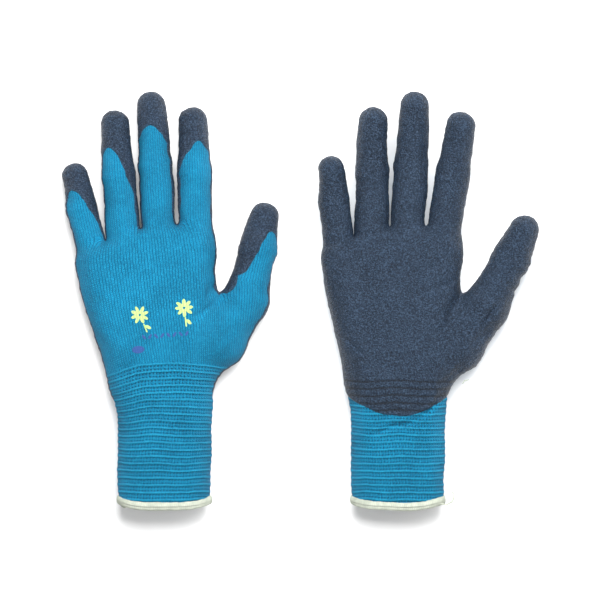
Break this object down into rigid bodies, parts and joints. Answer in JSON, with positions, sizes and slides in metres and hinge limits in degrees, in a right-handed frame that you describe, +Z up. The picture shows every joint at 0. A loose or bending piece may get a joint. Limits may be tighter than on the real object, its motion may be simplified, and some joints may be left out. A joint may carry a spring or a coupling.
{
  "type": "gardening gloves",
  "caption": "Pair of ribbed-cuff knit gardening gloves with a dipped foam palm and fingertips, daisies printed on the backs, fingers that bend at root and middle",
  "frame": {"origin": "on the table, under the middle of the pair", "axes": "+Z up; +Y towards the fingertips; +X towards both thumbs, from the palm-down left glove to the palm-up right glove"},
  "size_m": [0.2828, 0.248, 0.039],
  "materials": {
    "knit": "turquoise blue seamless knit, matt",
    "foam_coating": "dark navy foamed latex with a fine open grain",
    "hem_thread": "cream overlock thread",
    "elastic_yarn": "pale elastic yarn",
    "print_pale": "pale yellow-green ink soaked into the knit",
    "print_dark": "violet ink soaked into the knit"
  },
  "bodies": {
    "right_hand": {"right_hand_liner": "knit", "right_hand_coating": "foam_coating", "right_flower_print": "print_pale", "right_sprig_print": "print_dark"},
    "right_cuff": {"right_cuff": "knit", "right_cuff_elastic": "elastic_yarn", "right_cuff_hem": "hem_thread"},
    "right_index_base": {"right_index_base_liner": "knit", "right_index_base_coating": "foam_coating"},
    "right_index_tip": {"right_index_tip_liner": "knit", "right_index_tip_coating": "foam_coating"},
    "right_middle_base": {"right_middle_base_liner": "knit", "right_middle_base_coating": "foam_coating"},
    "right_middle_tip": {"right_middle_tip_liner": "knit", "right_middle_tip_coating": "foam_coating"},
    "right_ring_base": {"right_ring_base_liner": "knit", "right_ring_base_coating": "foam_coating"},
    "right_ring_tip": {"right_ring_tip_liner": "knit", "right_ring_tip_coating": "foam_coating"},
    "right_little_base": {"right_little_base_liner": "knit", "right_little_base_coating": "foam_coating"},
    "right_little_tip": {"right_little_tip_liner": "knit", "right_little_tip_coating": "foam_coating"},
    "right_thumb_base": {"right_thumb_base_liner": "knit", "right_thumb_base_coating": "foam_coating"},
    "right_thumb_tip": {"right_thumb_tip_liner": "knit", "right_thumb_tip_coating": "foam_coating"},
    "left_hand": {"left_hand_liner": "knit", "left_hand_coating": "foam_coating", "left_flower_print": "print_pale", "left_sprig_print": "print_dark"},
    "left_cuff": {"left_cuff": "knit", "left_cuff_elastic": "elastic_yarn", "left_cuff_hem": "hem_thread"},
    "left_index_base": {"left_index_base_liner": "knit", "left_index_base_coating": "foam_coating"},
    "left_index_tip": {"left_index_tip_liner": "knit", "left_index_tip_coating": "foam_coating"},
    "left_middle_base": {"left_middle_base_liner": "knit", "left_middle_base_coating": "foam_coating"},
    "left_middle_tip": {"left_middle_tip_liner": "knit", "left_middle_tip_coating": "foam_coating"},
    "left_ring_base": {"left_ring_base_liner": "knit", "left_ring_base_coating": "foam_coating"},
    "left_ring_tip": {"left_ring_tip_liner": "knit", "left_ring_tip_coating": "foam_coating"},
    "left_little_base": {"left_little_base_liner": "knit", "left_little_base_coating": "foam_coating"},
    "left_little_tip": {"left_little_tip_liner": "knit", "left_little_tip_coating": "foam_coating"},
    "left_thumb_base": {"left_thumb_base_liner": "knit", "left_thumb_base_coating": "foam_coating"},
    "left_thumb_tip": {"left_thumb_tip_liner": "knit", "left_thumb_tip_coating": "foam_coating"}
  },
  "joints": [
    {"name": "left_glove_lift", "type": "slide", "parent": "right_hand", "child": "left_hand", "axis": [0, 0, 1], "range_m": [0, 0.15]},
    {"name": "right_wrist", "type": "hinge", "parent": "right_hand", "child": "right_cuff", "pos_m": [0.05787, -0.06254, 0.03236], "axis": [-1, 0, 0], "range_deg": [0, 30], "stiffness_Nm_per_rad": 0.1},
    {"name": "right_index_root", "type": "hinge", "parent": "right_hand", "child": "right_index_base", "pos_m": [0.08546, 0.04437, 0.02668], "axis": [0.9877, -0.1564, 0], "range_deg": [0, 55], "stiffness_Nm_per_rad": 0.03},
    {"name": "right_index_middle", "type": "hinge", "parent": "right_index_base", "child": "right_index_tip", "pos_m": [0.08982, 0.07194, 0.02899], "axis": [0.9877, -0.1564, 0], "range_deg": [0, 60], "stiffness_Nm_per_rad": 0.02},
    {"name": "right_middle_root", "type": "hinge", "parent": "right_hand", "child": "right_middle_base", "pos_m": [0.06394, 0.04536, 0.02668], "axis": [0.9989, -0.0471, 0], "range_deg": [0, 55], "stiffness_Nm_per_rad": 0.03},
    {"name": "right_middle_middle", "type": "hinge", "parent": "right_middle_base", "child": "right_middle_tip", "pos_m": [0.06548, 0.07813, 0.02941], "axis": [0.9989, -0.0471, 0], "range_deg": [0, 60], "stiffness_Nm_per_rad": 0.02},
    {"name": "right_ring_root", "type": "hinge", "parent": "right_hand", "child": "right_ring_base", "pos_m": [0.04257, 0.0432, 0.02647], "axis": [1, 0, 0], "range_deg": [0, 55], "stiffness_Nm_per_rad": 0.03},
    {"name": "right_ring_middle", "type": "hinge", "parent": "right_ring_base", "child": "right_ring_tip", "pos_m": [0.04257, 0.07291, 0.02944], "axis": [1, 0, 0], "range_deg": [0, 60], "stiffness_Nm_per_rad": 0.02},
    {"name": "right_little_root", "type": "hinge", "parent": "right_hand", "child": "right_little_base", "pos_m": [0.02227, 0.03762, 0.02566], "axis": [0.9956, 0.0941, 0], "range_deg": [0, 55], "stiffness_Nm_per_rad": 0.03},
    {"name": "right_little_middle", "type": "hinge", "parent": "right_little_base", "child": "right_little_tip", "pos_m": [0.0205, 0.05631, 0.02771], "axis": [0.9956, 0.0941, 0], "range_deg": [0, 60], "stiffness_Nm_per_rad": 0.02},
    {"name": "right_thumb_root", "type": "hinge", "parent": "right_hand", "child": "right_thumb_base", "pos_m": [0.11078, 0.00606, 0.0292], "axis": [0.8297, -0.4412, 0.342], "range_deg": [0, 35], "stiffness_Nm_per_rad": 0.03},
    {"name": "right_thumb_middle", "type": "hinge", "parent": "right_thumb_base", "child": "right_thumb_tip", "pos_m": [0.11999, 0.02384, 0.02979], "axis": [0.8297, -0.4412, 0.342], "range_deg": [0, 50], "stiffness_Nm_per_rad": 0.02},
    {"name": "left_wrist", "type": "hinge", "parent": "left_hand", "child": "left_cuff", "pos_m": [-0.08011, -0.06254, 0.00105], "axis": [0.9962, 0.0872, 0], "range_deg": [0, 30], "stiffness_Nm_per_rad": 0.1},
    {"name": "left_index_root", "type": "hinge", "parent": "left_hand", "child": "left_index_base", "pos_m": [-0.0619, 0.0469, 0.0067], "axis": [-0.9998, -0.0209, 0], "range_deg": [0, 55], "stiffness_Nm_per_rad": 0.03},
    {"name": "left_index_middle", "type": "hinge", "parent": "left_index_base", "child": "left_index_tip", "pos_m": [-0.06249, 0.07544, 0.00581], "axis": [-0.9998, -0.0209, 0], "range_deg": [0, 60], "stiffness_Nm_per_rad": 0.02},
    {"name": "left_middle_root", "type": "hinge", "parent": "left_hand", "child": "left_middle_base", "pos_m": [-0.08348, 0.04584, 0.00671], "axis": [-0.9978, -0.0663, 0], "range_deg": [0, 55], "stiffness_Nm_per_rad": 0.03},
    {"name": "left_middle_middle", "type": "hinge", "parent": "left_middle_base", "child": "left_middle_tip", "pos_m": [-0.0857, 0.07927, 0.00506], "axis": [-0.9978, -0.0663, 0], "range_deg": [0, 60], "stiffness_Nm_per_rad": 0.02},
    {"name": "left_ring_root", "type": "hinge", "parent": "left_hand", "child": "left_ring_base", "pos_m": [-0.10462, 0.04199, 0.00691], "axis": [-0.9962, -0.0872, 0], "range_deg": [0, 55], "stiffness_Nm_per_rad": 0.03},
    {"name": "left_ring_middle", "type": "hinge", "parent": "left_ring_base", "child": "left_ring_tip", "pos_m": [-0.10727, 0.07231, 0.00542], "axis": [-0.9962, -0.0872, 0], "range_deg": [0, 60], "stiffness_Nm_per_rad": 0.02},
    {"name": "left_little_root", "type": "hinge", "parent": "left_hand", "child": "left_little_base", "pos_m": [-0.12438, 0.03462, 0.00771], "axis": [-0.9755, -0.2198, 0], "range_deg": [0, 55], "stiffness_Nm_per_rad": 0.03},
    {"name": "left_little_middle", "type": "hinge", "parent": "left_little_base", "child": "left_little_tip", "pos_m": [-0.12863, 0.05348, 0.00658], "axis": [-0.9755, -0.2198, 0], "range_deg": [0, 60], "stiffness_Nm_per_rad": 0.02},
    {"name": "left_thumb_root", "type": "hinge", "parent": "left_hand", "child": "left_thumb_base", "pos_m": [-0.03348, 0.00996, 0.0042], "axis": [-0.9137, 0.2194, 0.342], "range_deg": [0, 35], "stiffness_Nm_per_rad": 0.03},
    {"name": "left_thumb_middle", "type": "hinge", "parent": "left_thumb_base", "child": "left_thumb_tip", "pos_m": [-0.02884, 0.02975, 0.00392], "axis": [-0.9137, 0.2194, 0.342], "range_deg": [0, 50], "stiffness_Nm_per_rad": 0.02}
  ]
}
